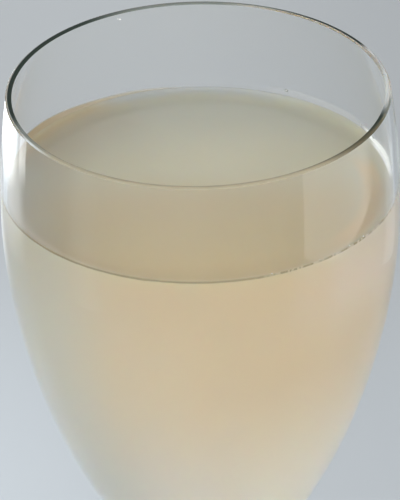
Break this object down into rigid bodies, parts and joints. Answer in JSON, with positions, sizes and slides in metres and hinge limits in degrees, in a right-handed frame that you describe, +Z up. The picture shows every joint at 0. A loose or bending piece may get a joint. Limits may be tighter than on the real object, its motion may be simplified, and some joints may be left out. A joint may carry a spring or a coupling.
{
  "type": "glass of peach liqueur",
  "caption": "Clear stemmed tulip glass filled with cloudy peach-coloured liqueur to a little below its lip.",
  "frame": {"origin": "centre of the foot's underside, on the surface the glass stands on", "axes": "+Z up along the axis of the bowl and stem; X and Y are equal, the glass is turned about Z"},
  "size_m": [0.0668, 0.0668, 0.172],
  "materials": {
    "glass": "clear, polished",
    "liqueur": "cloudy liquid, smooth wet surface"
  },
  "bodies": {
    "root": {"glass": "glass", "liqueur": "liqueur"}
  },
  "joints": []
}
